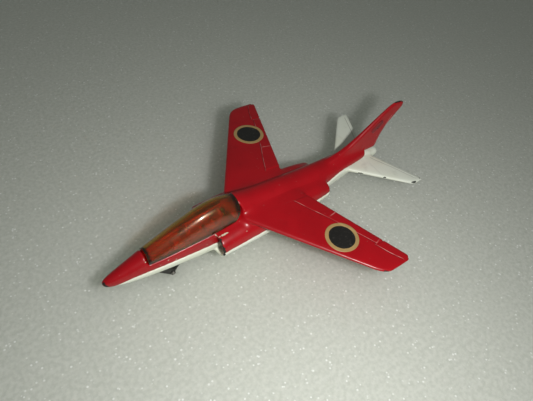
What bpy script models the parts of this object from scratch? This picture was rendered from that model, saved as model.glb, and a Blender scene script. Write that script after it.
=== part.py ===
"""Die-cast toy jet trainer.

Two painted metal castings are riveted together: a red upper one with the wings, the fin and the
cockpit tub, and a white lower one with the tailplane. They trap a clear amber canopy and three
black plastic undercarriage legs, each with its wheel on a steel axle.

+X is the nose, +Y the port wing and +Z up. The wheels stand on Z = 0. Sizes are in millimetres
until a mesh is made.
"""
import math

import bmesh
import bpy

MM = 0.001
GROUND = 1.6            # ground level above the building line that all heights below start from

# Driving sizes
GAP = 0.3               # clearance between neighbouring pieces
SIDES = 28              # points round a body section
WALL = 1.3              # thickness of the castings' walls
CANOPY_WALL = 0.8

NOSE_X = 50.7
RED_TAIL_X = -37.4      # where the upper casting's body ends; the fin runs on over the tail cone

# Body stations: x, half width, z of the widest line, top z, bottom z. The top line is the
# canopy's where the canopy is.
BODY = (
    (50.7, 0.45, 10.9, 11.35, 10.4),
    (50.0, 1.00, 10.8, 11.9, 9.7),
    (48.6, 1.50, 10.7, 12.5, 9.0),
    (46.0, 2.10, 10.8, 13.4, 8.3),
    (42.0, 2.80, 11.1, 15.0, 7.8),
    (38.6, 3.30, 11.4, 16.5, 7.5),
    (34.0, 3.80, 11.6, 18.5, 7.3),
    (28.0, 4.30, 11.8, 21.0, 7.1),
    (22.0, 4.70, 12.1, 23.1, 7.0),
    (17.0, 4.90, 12.3, 23.7, 7.0),
    (11.8, 5.00, 12.6, 22.6, 7.0),
    (5.0, 5.00, 12.9, 21.1, 7.0),
    (-4.0, 4.80, 13.1, 20.3, 7.1),
    (-13.0, 4.40, 13.3, 19.7, 7.6),
    (-20.0, 4.00, 14.2, 19.5, 8.7),
    (-25.0, 3.60, 15.2, 19.6, 9.9),
    (-32.0, 3.00, 16.0, 19.7, 11.6),
    (-37.4, 2.30, 16.3, 19.4, 12.8),
)
TAIL_CONE = (
    (-37.1, 1.90, 15.1, 16.1, 12.8),
    (-37.75, 2.00, 15.2, 17.1, 12.9),
    (-41.5, 1.80, 15.1, 16.9, 13.2),
    (-44.0, 1.45, 15.0, 16.4, 13.6),
    (-44.4, 1.10, 15.0, 16.0, 14.0),
)
BODY_POWER = 2.3        # 2 is an ellipse, more is boxier

# Engine nacelle stations: x, y of its middle, half width, z of the widest line, top z, bottom z
NACELLE = (
    (20.0, 4.6, 4.4, 12.6, 16.4, 8.9),
    (12.0, 4.6, 4.2, 12.9, 17.3, 8.6),
    (0.0, 4.4, 3.9, 13.1, 18.0, 8.6),
    (-10.0, 4.1, 3.6, 13.2, 17.9, 9.0),
    (-15.0, 3.9, 3.4, 13.4, 17.5, 9.7),
    (-19.4, 3.7, 3.2, 13.8, 16.4, 10.6),
)
INTAKE_DEPTH = 5.0
INTAKE_LIP = 0.8

# The line, along x, on which the castings meet
PARTING = (
    (60.0, 9.0), (47.4, 9.6), (43.0, 10.8), (38.6, 11.3), (30.0, 11.8), (20.0, 12.2), (12.0, 12.6),
    (0.0, 13.0), (-18.0, 13.5), (-21.5, 14.6), (-25.0, 15.9), (-28.0, 16.4), (-37.1, 16.5),
)
WHITE_NOSE_X = 47.2     # the upper casting alone makes the nose tip

# Wing: plan lines as x at the centre line and x gained per mm of span
SPAN_HALF = 38.5
WING_LE = (15.4, -0.705)
WING_TE = (-6.9, -0.385)
WING_MID_Z = (18.15, -0.056)
WING_THICK = (2.0, -0.02)
TIP_ROUND = 2.3         # how far in the leading edge starts to curve round to the tip

# Section of the wing and tailplane: share of the chord, share of half the thickness
FOIL = ((0.0, 0.0), (0.01, 0.45), (0.035, 0.75), (0.12, 0.93), (0.40, 1.0), (0.80, 0.75),
        (1.0, 0.38))

# Fin outline in the XZ plane, from the spine up the leading edge and down the trailing edge
FIN = (
    (-20.0, 18.0), (-22.0, 19.6), (-26.0, 20.6), (-29.8, 22.3), (-33.8, 25.0), (-41.9, 31.1),
    (-45.2, 33.2), (-47.0, 33.7), (-49.3, 33.4), (-50.7, 32.5), (-50.6, 31.3), (-47.9, 28.6),
    (-45.6, 25.9), (-44.0, 22.6), (-42.6, 17.5), (-37.6, 17.4), (-36.4, 18.2),
)
FIN_FOOT_Z = 17.3
FIN_HALF_THICK = (1.05, 0.5)    # at the root and at the top
FIN_ROOT_Z = 18.0
FIN_TOP_Z = 33.8

# Tailplane
TAIL_SPAN_HALF = 18.5
TAIL_LE = (-25.4, -0.99)
TAIL_TE = (-39.9, -0.44)
TAIL_MID_Z = (15.55, -0.005)
TAIL_THICK = (1.5, -0.025)
TAIL_ROOT_Y = 2.0

# Canopy: the sill line, front to rear, and the ends of the opening
SILL_FRONT = (38.7, 14.1)
SILL_REAR = (11.2, 18.05)
CANOPY_FRONT_TOP_X = 39.4
OPENING_HALF_WIDTH = 5.35
CANOPY_REAR_TOP_X = 12.1
TUB_FLOOR_Z = 13.8
SEAT_X = (28.5, 18.5)

# Undercarriage
NOSE_WHEEL = {"x": 31.6, "y": 0.0, "radius": 1.6, "width": 1.3}
MAIN_WHEEL = {"x": -9.5, "y": 11.2, "radius": 2.1, "width": 1.7}
AXLE_RADIUS = 0.4
AXLE_CLEARANCE = 0.15
HEAD_RADIUS = 0.7
HEAD_LENGTH = 0.3

# Rivet posts: x of each
RIVETS = {"front": 23.5, "rear": -26.5}
POST_RADIUS = 1.2
RIVET_HEAD_RADIUS = 1.7
RIVET_HEAD_LENGTH = 0.6

# Flat pad cast on the belly
PAD_X = (1.0, 15.0)
PAD_HALF_WIDTH = 2.4
PAD_Z = 6.7

# Labels: thin plates over the paint
LABEL_RADIUS = 4.8
LABEL_THICK = 0.1
LABEL_GAP = 0.12
WING_LABEL_AT = {"left": (-8.4, 23.6), "right": (-9.8, 24.0)}
FIN_LABEL_Y = 0.86
FIN_LABEL = ((-38.0, 26.3), (-41.9, 29.2), (-43.3, 27.0), (-39.4, 24.2))

RED = ((0.42, 0.006, 0.013), 0.28, 0.0)
WHITE = ((0.62, 0.64, 0.55), 0.35, 0.0)
AMBER = ((0.55, 0.22, 0.03), 0.08, 0.0)
BLACK = ((0.02, 0.02, 0.018), 0.5, 0.0)
STEEL = ((0.55, 0.55, 0.53), 0.35, 1.0)
LABEL = ((0.45, 0.33, 0.13), 0.4, 0.0)


# ---------------------------------------------------------------- scene and objects

def clear_scene():
    for obj in list(bpy.data.objects):
        bpy.data.objects.remove(obj, do_unlink=True)
    for coll in list(bpy.data.collections):
        bpy.data.collections.remove(coll)


def new_collection(name):
    coll = bpy.data.collections.new(name)
    bpy.context.scene.collection.children.link(coll)
    return coll


def new_material(name, look):
    colour, roughness, metallic = look
    mat = bpy.data.materials.new(name)
    mat.use_nodes = True
    shader = mat.node_tree.nodes["Principled BSDF"]
    shader.inputs["Base Color"].default_value = (*colour, 1.0)
    shader.inputs["Roughness"].default_value = roughness
    shader.inputs["Metallic"].default_value = metallic
    mat.diffuse_color = (*colour, 1.0)
    return mat


def add_object(name, mesh, coll, look=None):
    obj = bpy.data.objects.new(name, mesh)
    coll.objects.link(obj)
    if look:
        mesh.materials.append(new_material(name, look))
    return obj


def as_cutter(obj):
    obj.hide_render = True
    obj.display_type = "WIRE"
    return obj


def boolean(obj, operation, tool):
    """Add a live boolean, and leave its tool as a wire guide."""
    mod = obj.modifiers.new(operation.lower() + "_" + tool.name, "BOOLEAN")
    mod.operation = operation
    mod.solver = "EXACT"
    mod.object = as_cutter(tool)


def to_mesh(bm, name):
    bmesh.ops.recalc_face_normals(bm, faces=bm.faces)
    mesh = bpy.data.meshes.new(name)
    bm.to_mesh(mesh)
    bm.free()
    mesh.shade_smooth()
    mesh.set_sharp_from_angle(angle=math.radians(35))
    return mesh


# ---------------------------------------------------------------- shape helpers

def interpolate(stations, x):
    """Read a table of stations, ordered by falling x, at x, with a smooth curve through them."""
    if x >= stations[0][0]:
        return stations[0][1:]
    if x <= stations[-1][0]:
        return stations[-1][1:]
    k = next(i for i in range(len(stations) - 1) if stations[i + 1][0] <= x)
    before, after = max(k - 1, 0), min(k + 2, len(stations) - 1)
    x0, x1 = stations[k][0], stations[k + 1][0]
    t = (x - x0) / (x1 - x0)
    values = []
    for c in range(1, len(stations[0])):
        v0, v1 = stations[k][c], stations[k + 1][c]
        s0 = (v1 - stations[before][c]) / (x1 - stations[before][0])
        s1 = (stations[after][c] - v0) / (stations[after][0] - x0)
        h = x1 - x0
        values.append(v0 * (2 * t**3 - 3 * t**2 + 1) + v1 * (3 * t**2 - 2 * t**3)
                      + h * s0 * (t**3 - 2 * t**2 + t) + h * s1 * (t**3 - t**2))
    return tuple(values)


def signed_power(value, power):
    return math.copysign(abs(value) ** power, value)


def section(x, y_mid, half_width, z_wide, z_top, z_bottom, inset=0.0, sides=SIDES):
    """Closed ring round the body at x: a superellipse with its own upper and lower halves."""
    width = half_width - inset
    above, below = z_top - z_wide - inset, z_wide - z_bottom - inset
    ring = []
    for k in range(sides):
        angle = 2 * math.pi * k / sides
        c = signed_power(math.cos(angle), 2 / BODY_POWER)
        s = signed_power(math.sin(angle), 2 / BODY_POWER)
        ring.append((x, y_mid + width * c, z_wide + (above if s > 0 else below) * s))
    return ring


def place(point):
    """Table millimetres to metres above the ground."""
    x, y, z = point
    return (x * MM, y * MM, (z - GROUND) * MM)


def loft(rings, name):
    """Skin closed rings of equal length and cap both ends."""
    bm = bmesh.new()
    rows = [[bm.verts.new(place(point)) for point in ring] for ring in rings]
    count = len(rings[0])
    for low, high in zip(rows, rows[1:]):
        for k in range(count):
            n = (k + 1) % count
            bm.faces.new((low[k], low[n], high[n], high[k]))
    bm.faces.new(rows[0])
    bm.faces.new(rows[-1])
    return to_mesh(bm, name)


def body_mesh(name, stations, x_from, x_to, step, inset=0.0):
    """Loft of the body between two x, with rings every step and at the stations of the ends."""
    count = max(2, round((x_from - x_to) / step))
    places = [x_from + (x_to - x_from) * k / count for k in range(count + 1)]
    places += [s[0] for s in stations if x_from - 3 < s[0] < x_from or x_to < s[0] < x_to + 1]
    rings = []
    for x in sorted(set(places), reverse=True):
        half_width, z_wide, z_top, z_bottom = interpolate(stations, x)
        rings.append(section(x, 0.0, half_width, z_wide, z_top, z_bottom, inset))
    return loft(rings, name)


def nacelle_mesh(name, side, x_from, x_to, inset=0.0):
    count = max(2, round((x_from - x_to) / 4.0))
    rings = []
    for k in range(count + 1):
        x = x_from + (x_to - x_from) * k / count
        y_mid, half_width, z_wide, z_top, z_bottom = interpolate(NACELLE, x)
        rings.append(section(x, side * y_mid, half_width, z_wide, z_top, z_bottom, inset, 24))
    return loft(rings, name)


def prism(outline, y_low, y_high, name):
    """Extrude an outline in the XZ plane along Y."""
    return loft([[(x, y, z) for x, z in outline] for y in (y_low, y_high)], name)


def box(name, low, high):
    corners = ((low[0], low[2]), (high[0], low[2]), (high[0], high[2]), (low[0], high[2]))
    return prism(corners, low[1], high[1], name)


def turned(profile, centre, direction, sides, name):
    """Turn a profile of (distance along, radius) round an axis through centre along Y or Z."""
    rings = []
    for along, radius in profile:
        ring = []
        for k in range(sides):
            a = 2 * math.pi * k / sides
            u, v = radius * math.cos(a), radius * math.sin(a)
            offset = (u, along, v) if direction == "Y" else (u, v, along)
            ring.append(tuple(c + o for c, o in zip(centre, offset)))
        rings.append(ring)
    return loft(rings, name)


# ---------------------------------------------------------------- flying surfaces

def foil_ring(le, te, y, z, half):
    """Section of a flying surface at y: rounded nose, thickest at 40% chord, blunt tail."""
    upper = [(le + (te - le) * c, y, z + half * h) for c, h in FOIL]
    lower = [(le + (te - le) * c, y, z - half * h) for c, h in reversed(FOIL[1:])]
    return upper + lower


def wing_mesh(name, side, line_le, line_te, mid, thick, span, tip_round, root_y=0.0):
    """A tapered surface from the centre line to a tip whose front corner is rounded."""
    inner = [root_y, 0.35 * span, 0.7 * span, span - tip_round]
    curve = [span - tip_round + tip_round * math.sin(math.radians(a)) for a in (30, 55, 75, 90)]
    rings = []
    for y in inner + curve:
        rounding = min(1.0, max(0.0, (y - (span - tip_round)) / tip_round))
        back = tip_round * (1 - math.sqrt(1 - rounding**2))
        le = line_le[0] + line_le[1] * y - back
        te = line_te[0] + line_te[1] * y + 0.25 * back
        half = (thick[0] + thick[1] * y) / 2 * (1 - 0.45 * rounding**3)
        rings.append(foil_ring(le, te, side * y, mid[0] + mid[1] * y, half))
    return loft(rings, name)


def fin_mesh(name):
    """Fin from its outline, thin at the edges and thickest inside the outline."""
    bm = bmesh.new()
    xs = [p[0] for p in FIN]
    zs = [p[1] for p in FIN]
    middle = (sum(xs) / len(xs), sum(zs) / len(zs))
    loops = {}
    for sign in (-1, 1):
        for ring, (shrink, fill) in enumerate(((0.0, 0.35), (0.5, 0.8), (1.3, 1.0))):
            loop = []
            for x, z in FIN:
                height = min(1.0, max(0.0, (z - FIN_ROOT_Z) / (FIN_TOP_Z - FIN_ROOT_Z)))
                half = FIN_HALF_THICK[0] + (FIN_HALF_THICK[1] - FIN_HALF_THICK[0]) * height
                dx, dz = middle[0] - x, middle[1] - z
                reach = math.hypot(dx, dz)
                point = (x + dx / reach * shrink, sign * half * fill, z + dz / reach * shrink)
                loop.append(bm.verts.new(place(point)))
            loops[sign, ring] = loop
    count = len(FIN)
    strips = [(loops[1, 2], loops[1, 1]), (loops[1, 1], loops[1, 0]), (loops[1, 0], loops[-1, 0]),
              (loops[-1, 0], loops[-1, 1]), (loops[-1, 1], loops[-1, 2])]
    for a, b in strips:
        for k in range(count):
            n = (k + 1) % count
            bm.faces.new((a[k], a[n], b[n], b[k]))
    bm.faces.new(loops[1, 2])
    bm.faces.new(loops[-1, 2])
    bmesh.ops.triangulate(bm, faces=[f for f in bm.faces if len(f.verts) > 4])
    return to_mesh(bm, name)


# ---------------------------------------------------------------- the castings

def sill_z(x):
    t = (x - SILL_REAR[0]) / (SILL_FRONT[0] - SILL_REAR[0])
    return SILL_REAR[1] + (SILL_FRONT[1] - SILL_REAR[1]) * t


def canopy_outline(grow):
    """Side view of the canopy's opening, grown outward by grow on the sill and the ends."""
    rear_x, front_x = SILL_REAR[0] - grow, SILL_FRONT[0] + grow
    top_lean = CANOPY_FRONT_TOP_X - SILL_FRONT[0]
    z = SILL_REAR[1] - grow
    return ((front_x, sill_z(front_x) - grow), (front_x + top_lean, 30.0),
            (CANOPY_REAR_TOP_X - grow, 30.0), (CANOPY_REAR_TOP_X - grow, 22.0),
            (rear_x + 0.1, 20.5), (rear_x, z + 1.6), (rear_x + 0.45, z + 0.5),
            (rear_x + 1.5, sill_z(rear_x + 1.5) - grow))


def above_parting(offset):
    """Everything above the parting line, raised by offset."""
    line = [(x, z + offset) for x, z in PARTING]
    return line + [(RED_TAIL_X + GAP, FIN_FOOT_Z), (-60.0, FIN_FOOT_Z), (-60.0, 60.0),
                   (60.0, 60.0)]


def below_parting():
    line = [(x, z) for x, z in PARTING if x < WHITE_NOSE_X]
    return line + [(RED_TAIL_X, FIN_FOOT_Z), (-60.0, FIN_FOOT_Z), (-60.0, -20.0),
                   (WHITE_NOSE_X, -20.0), (WHITE_NOSE_X, 9.6)]


def add_nacelles(casting, prefix, guides):
    for side, word in ((1, "left"), (-1, "right")):
        nacelle = nacelle_mesh("nacelle", side, NACELLE[0][0], NACELLE[-1][0])
        boolean(casting, "UNION", add_object(prefix + "_nacelle_" + word, nacelle, guides))


def make_upper_casting(parts, guides):
    casting = add_object("upper_casting", body_mesh("upper_casting", BODY, NOSE_X, RED_TAIL_X, 3.2),
                         parts, RED)
    add_nacelles(casting, "upper", guides)
    keep = add_object("above_parting", prism(above_parting(GAP / 2), -60, 60, "above"), guides)
    boolean(casting, "INTERSECT", keep)
    for side, word in ((1, "left"), (-1, "right")):
        wing = wing_mesh("wing", side, WING_LE, WING_TE, WING_MID_Z, WING_THICK, SPAN_HALF,
                         TIP_ROUND)
        boolean(casting, "UNION", add_object("wing_" + word, wing, guides))
    boolean(casting, "UNION", add_object("fin_blade", fin_mesh("fin"), guides))
    underside = box("underside", (47.5, -60, -20), (60, 60, 9.3))
    boolean(casting, "DIFFERENCE", add_object("nose_underside", underside, guides))

    opening = prism(canopy_outline(GAP), -OPENING_HALF_WIDTH, OPENING_HALF_WIDTH, "opening")
    boolean(casting, "DIFFERENCE", add_object("canopy_opening", opening, guides))
    tub = loft([[(x, y, z) for y, z in ((-w, TUB_FLOOR_Z), (w, TUB_FLOOR_Z), (w + 0.5, 30.0),
                                        (-w - 0.5, 30.0))]
                for x, w in ((37.0, 1.7), (30.0, 2.5), (22.0, 3.0), (13.2, 3.2))], "tub")
    boolean(casting, "DIFFERENCE", add_object("cockpit_tub", tub, guides))
    for side, word in ((1, "left"), (-1, "right")):
        boolean(casting, "DIFFERENCE", intake_recess("upper_intake_" + word, side, guides))
        engine = nacelle_mesh("engine", side, 13.5, -16.5, WALL)
        boolean(casting, "DIFFERENCE", add_object("upper_engine_" + word, engine, guides))
    hollow = body_mesh("hollow", BODY, 8.0, -15.0, 4.0, WALL)
    boolean(casting, "DIFFERENCE", add_object("upper_hollow", hollow, guides))
    for k, x in enumerate(SEAT_X):
        seat = prism(((x + 2.4, TUB_FLOOR_Z - 0.5), (x + 2.2, TUB_FLOOR_Z + 1.2 + 0.6 * k),
                      (x - 0.4, TUB_FLOOR_Z + 1.0 + 0.6 * k), (x - 1.6, TUB_FLOOR_Z + 4.4 + 1.2 * k),
                      (x - 2.8, TUB_FLOOR_Z + 4.4 + 1.2 * k), (x - 2.4, TUB_FLOOR_Z - 0.5)),
                     -1.5, 1.5, "seat")
        boolean(casting, "UNION", add_object("seat_%d" % (k + 1), seat, guides))
    for word, x in RIVETS.items():
        boolean(casting, "UNION", add_object("rivet_" + word, rivet_mesh(x), guides))
    return casting


def intake_recess(name, side, guides):
    """Hollow behind an intake's lip, which leaves the body's own side standing."""
    recess = add_object(name, nacelle_mesh("intake", side, 24.0, 20.0 - INTAKE_DEPTH, INTAKE_LIP),
                        guides)
    body = add_object(name + "_body", body_mesh("body", BODY, 30.0, 10.0, 3.2, -0.02), guides)
    boolean(recess, "DIFFERENCE", body)
    return recess


def rivet_mesh(x):
    """Cast post with its peened head under the lower casting's floor."""
    seat_z = rivet_seat_z(x)
    top_z = interpolate(BODY, x)[1] + 2.0
    length = top_z - seat_z
    return turned(((-RIVET_HEAD_LENGTH - GAP, RIVET_HEAD_RADIUS - 0.3),
                   (-RIVET_HEAD_LENGTH - GAP + 0.25, RIVET_HEAD_RADIUS),
                   (-GAP, RIVET_HEAD_RADIUS), (-GAP + 0.01, POST_RADIUS), (length, POST_RADIUS)),
                  (x, 0.0, seat_z), "Z", 16, "rivet")


def rivet_seat_z(x):
    """Height of the flat that the rivet's head closes on."""
    return interpolate(BODY, x)[3] + RIVET_HEAD_LENGTH + GAP


def make_lower_casting(parts, guides):
    casting = add_object("lower_casting", body_mesh("lower_casting", BODY, NOSE_X, RED_TAIL_X, 3.2),
                         parts, WHITE)
    add_nacelles(casting, "lower", guides)
    keep = add_object("below_parting", prism([(x, z - GAP / 2) for x, z in below_parting()],
                                             -60, 60, "below"), guides)
    boolean(casting, "INTERSECT", keep)
    cone = body_mesh("cone", TAIL_CONE, TAIL_CONE[0][0], TAIL_CONE[-1][0], 1.6)
    boolean(casting, "UNION", add_object("tail_cone", cone, guides))
    for side, word in ((1, "left"), (-1, "right")):
        tail = wing_mesh("tailplane", side, TAIL_LE, TAIL_TE, TAIL_MID_Z, TAIL_THICK,
                         TAIL_SPAN_HALF, 0.8, TAIL_ROOT_Y)
        boolean(casting, "UNION", add_object("tailplane_" + word, tail, guides))
        boolean(casting, "DIFFERENCE", intake_recess("lower_intake_" + word, side, guides))
        engine = nacelle_mesh("engine", side, 13.5, -16.5, WALL)
        boolean(casting, "DIFFERENCE", add_object("lower_engine_" + word, engine, guides))
    pad = box("pad", (PAD_X[0], -PAD_HALF_WIDTH, PAD_Z), (PAD_X[1], PAD_HALF_WIDTH, PAD_Z + 1.5))
    boolean(casting, "UNION", add_object("belly_pad", pad, guides))
    hollow = body_mesh("hollow", BODY, 41.0, -21.0, 4.0, WALL)
    boolean(casting, "DIFFERENCE", add_object("lower_hollow", hollow, guides))
    for word, x in RIVETS.items():
        z_floor = interpolate(BODY, x)[3]
        boss_top = min(z_floor + 4.0, interpolate(BODY, x)[1] - 0.6)
        boss = turned(((0.4, POST_RADIUS + 1.3), (boss_top - z_floor, POST_RADIUS + 1.0)),
                      (x, 0.0, z_floor), "Z", 16, "boss")
        boolean(casting, "UNION", add_object("boss_" + word, boss, guides))
        hole = turned(((-5.0, POST_RADIUS + GAP), (12.0, POST_RADIUS + GAP)), (x, 0.0, z_floor),
                      "Z", 16, "hole")
        boolean(casting, "DIFFERENCE", add_object("hole_" + word, hole, guides))
        seat = turned(((-6.0, RIVET_HEAD_RADIUS + GAP), (0.0, RIVET_HEAD_RADIUS + GAP)),
                      (x, 0.0, rivet_seat_z(x)), "Z", 16, "spot")
        boolean(casting, "DIFFERENCE", add_object("spot_face_" + word, seat, guides))
    return casting


def make_canopy(parts, guides):
    canopy = add_object("canopy", body_mesh("canopy", BODY, 41.0, 8.0, 2.0), parts, AMBER)
    outer = add_object("canopy_bounds", prism(canopy_outline(0.0), -9, 9, "bounds"), guides)
    boolean(canopy, "INTERSECT", outer)
    inner = add_object("canopy_inside", body_mesh("inside", BODY, SILL_FRONT[0] - CANOPY_WALL,
                                                  CANOPY_REAR_TOP_X + CANOPY_WALL, 2.4,
                                                  CANOPY_WALL), guides)
    boolean(canopy, "DIFFERENCE", inner)
    return canopy


# ---------------------------------------------------------------- undercarriage

def union_of(name, meshes, parts, guides, look):
    """A piece made of several overlapping shapes."""
    piece = add_object(name, meshes[0], parts, look)
    for k, mesh in enumerate(meshes[1:]):
        boolean(piece, "UNION", add_object("%s_piece_%d" % (name, k + 1), mesh, guides))
    return piece


def bore(piece, wheel, guides):
    reach = 6.0
    tool = turned(((-reach, AXLE_RADIUS + AXLE_CLEARANCE), (reach, AXLE_RADIUS + AXLE_CLEARANCE)),
                  (wheel["x"], wheel["y"], GROUND + wheel["radius"]), "Y", 12, "bore")
    boolean(piece, "DIFFERENCE", add_object(piece.name + "_bore", tool, guides))


def wheel_mesh(wheel, name):
    """Solid plastic wheel: rounded tread, dished hub and an axle bore."""
    r, half = wheel["radius"], wheel["width"] / 2
    hole = AXLE_RADIUS + AXLE_CLEARANCE
    profile = ((-half, hole), (-half, 0.36 * r), (-half + 0.25, 0.42 * r), (-half + 0.25, 0.66 * r),
               (-half, 0.72 * r), (-half, 0.88 * r), (-half * 0.6, r), (half * 0.6, r),
               (half, 0.88 * r), (half, 0.72 * r), (half - 0.25, 0.66 * r), (half - 0.25, 0.42 * r),
               (half, 0.36 * r), (half, hole))
    bm = bmesh.new()
    sides = 20
    rows = []
    for along, radius in profile:
        row = []
        for k in range(sides):
            a = 2 * math.pi * k / sides
            row.append(bm.verts.new((radius * math.cos(a) * MM, along * MM,
                                     radius * math.sin(a) * MM)))
        rows.append(row)
    for low, high in zip(rows, rows[1:] + rows[:1]):
        for k in range(sides):
            n = (k + 1) % sides
            bm.faces.new((low[k], low[n], high[n], high[k]))
    return to_mesh(bm, name)


def add_wheel(name, wheel, side, parts):
    obj = add_object(name, wheel_mesh(wheel, name), parts, BLACK)
    obj.location = place((wheel["x"], side * wheel["y"], GROUND + wheel["radius"]))


def add_axle(name, wheel, side, y_inner, y_outer, parts, inner_head=True):
    """Steel pin with a formed head at its outer end, and at its inner end where there is room."""
    mid = (wheel["x"], side * (y_inner + y_outer) / 2, GROUND + wheel["radius"])
    half = (y_outer - y_inner) / 2
    inner = [(-half, HEAD_RADIUS - 0.15), (-half + 0.15, HEAD_RADIUS),
             (-half + HEAD_LENGTH, HEAD_RADIUS), (-half + HEAD_LENGTH, AXLE_RADIUS)]
    outer = [(half - HEAD_LENGTH, AXLE_RADIUS), (half - HEAD_LENGTH, HEAD_RADIUS),
             (half - 0.15, HEAD_RADIUS), (half, HEAD_RADIUS - 0.15)]
    if not inner_head:
        inner = [(-half, AXLE_RADIUS)]
    profile = [(side * along, radius) for along, radius in inner + outer]
    add_object(name, turned(profile, mid, "Y", 14, name), parts, STEEL)


def make_nose_gear(parts, guides, floor):
    """Leg clipped through a slot in the belly, with a two-armed fork and a rear brace."""
    wheel = NOSE_WHEEL
    z_flange = interpolate(BODY, wheel["x"] + 2.5)[3] + WALL + 1.4
    arm_in, arm_out = wheel["width"] / 2 + GAP, wheel["width"] / 2 + GAP + 0.5
    x, z = wheel["x"], GROUND + wheel["radius"]
    arm = ((x + 3.9, z + 3.2), (x + 1.2, z + 3.5), (x - 0.8, z + 0.7), (x - 0.8, z - 0.3),
           (x - 0.3, z - 0.75), (x + 0.6, z - 0.6), (x + 3.9, z + 2.9))
    brace = ((x - 0.2, z + 0.8), (x - 0.7, z + 0.1), (x - 2.9, z + 3.2), (x - 2.3, z + 3.5))
    shapes = [box("column", (x + 1.5, -arm_out, z + 2.4), (x + 3.5, arm_out, z_flange + 0.5)),
              box("flange", (x + 0.7, -1.8, z_flange), (x + 4.3, 1.8, z_flange + 0.9))]
    for sign in (-1, 1):
        low, high = sorted((sign * arm_in, sign * arm_out))
        shapes.append(prism(arm, low, high, "arm"))
        shapes.append(prism(brace, low + 0.02, high - 0.02, "brace"))
    leg = union_of("nose_leg", shapes, parts, guides, BLACK)
    bore(leg, wheel, guides)
    slot = box("slot", (x + 1.5 - GAP, -arm_out - GAP, 0.0), (x + 3.5 + GAP, arm_out + GAP, 10.0))
    boolean(floor, "DIFFERENCE", add_object("nose_slot", slot, guides))
    add_wheel("nose_wheel", wheel, 1, parts)
    reach = arm_out + AXLE_CLEARANCE + HEAD_LENGTH
    add_axle("nose_axle", wheel, 1, -reach, reach, parts)


def make_main_gear(word, side, parts, guides, floor):
    """Leg clipped through a slot under the nacelle and splayed out to its wheel."""
    wheel = dict(MAIN_WHEEL, y=side * MAIN_WHEEL["y"])
    x, z = wheel["x"], GROUND + wheel["radius"]
    y_root, z_root = 4.8, 8.2
    boss_out = MAIN_WHEEL["y"] - MAIN_WHEEL["width"] / 2 - GAP
    boss_in = boss_out - 0.9
    z_floor = interpolate(NACELLE, x)[4] + WALL
    blade = []
    for y, z_at, half_x in ((y_root, z_root + 0.6, 1.0), (y_root + 0.2, z_root - 0.3, 1.0),
                            (boss_in + 0.35, z, 0.75)):
        blade.append([(x - half_x, side * (y - 0.45), z_at), (x + half_x, side * (y - 0.45), z_at),
                      (x + half_x, side * (y + 0.45), z_at), (x - half_x, side * (y + 0.45), z_at)])
    low, high = sorted((side * boss_in, side * boss_out))
    middle = (low + high) / 2
    shapes = [loft(blade, "blade"),
              turned(((low - middle, 1.05), (high - middle, 1.05)), (x, middle, z), "Y", 14, "boss")]
    y0, y1 = sorted((side * (y_root - 0.7), side * (y_root + 0.7)))
    shapes.append(box("column", (x - 1.1, y0, z_root - 0.2), (x + 1.1, y1, z_floor + 1.6)))
    y0, y1 = sorted((side * (y_root - 1.5), side * (y_root + 1.0)))
    z_flange = z_floor + 1.2
    shapes.append(box("flange", (x - 2.1, y0, z_flange), (x + 2.1, y1, z_flange + 0.9)))
    leg = union_of("main_leg_" + word, shapes, parts, guides, BLACK)
    bore(leg, wheel, guides)
    y0, y1 = sorted((side * (y_root - 0.7 - GAP), side * (y_root + 0.7 + GAP)))
    slot = box("slot", (x - 1.1 - GAP, y0, 4.0), (x + 1.1 + GAP, y1, z_flange - GAP))
    boolean(floor, "DIFFERENCE", add_object("main_slot_" + word, slot, guides))
    add_wheel("main_wheel_" + word, MAIN_WHEEL, side, parts)
    add_axle("main_axle_" + word, MAIN_WHEEL, side, boss_in + 0.05,
             MAIN_WHEEL["y"] + MAIN_WHEEL["width"] / 2 + GAP + HEAD_LENGTH, parts, False)


# ---------------------------------------------------------------- labels

def wing_top_z(x, y):
    """Height of the wing's upper skin, the same foil as the wing's own rings."""
    le, te = WING_LE[0] + WING_LE[1] * y, WING_TE[0] + WING_TE[1] * y
    half = (WING_THICK[0] + WING_THICK[1] * y) / 2
    chord = (le - x) / (le - te)
    for (c0, h0), (c1, h1) in zip(FOIL, FOIL[1:]):
        if c0 <= chord <= c1:
            height = h0 + (h1 - h0) * (chord - c0) / (c1 - c0)
            return WING_MID_Z[0] + WING_MID_Z[1] * y + half * height
    return WING_MID_Z[0] + WING_MID_Z[1] * y


def wing_label_mesh(name, centre, side):
    """Thin round label laid over the wing's skin."""
    bm = bmesh.new()
    spokes, steps = 24, 4
    layers = []
    for lift in (LABEL_GAP, LABEL_GAP + LABEL_THICK):
        rings = []
        for k in range(1, steps + 1):
            radius = LABEL_RADIUS * k / steps
            ring = []
            for n in range(spokes):
                a = 2 * math.pi * n / spokes
                x, y = centre[0] + radius * math.cos(a), centre[1] + radius * math.sin(a)
                ring.append(bm.verts.new(place((x, side * y, wing_top_z(x, y) + lift))))
            rings.append(ring)
        hub = bm.verts.new(place((centre[0], side * centre[1], wing_top_z(*centre) + lift)))
        layers.append((hub, rings))
    for hub, rings in layers:
        for n in range(spokes):
            m = (n + 1) % spokes
            bm.faces.new((hub, rings[0][n], rings[0][m]))
            for a, b in zip(rings, rings[1:]):
                bm.faces.new((a[n], b[n], b[m], a[m]))
    for n in range(spokes):
        m = (n + 1) % spokes
        bm.faces.new((layers[0][1][-1][n], layers[0][1][-1][m], layers[1][1][-1][m],
                      layers[1][1][-1][n]))
    return to_mesh(bm, name)


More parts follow.
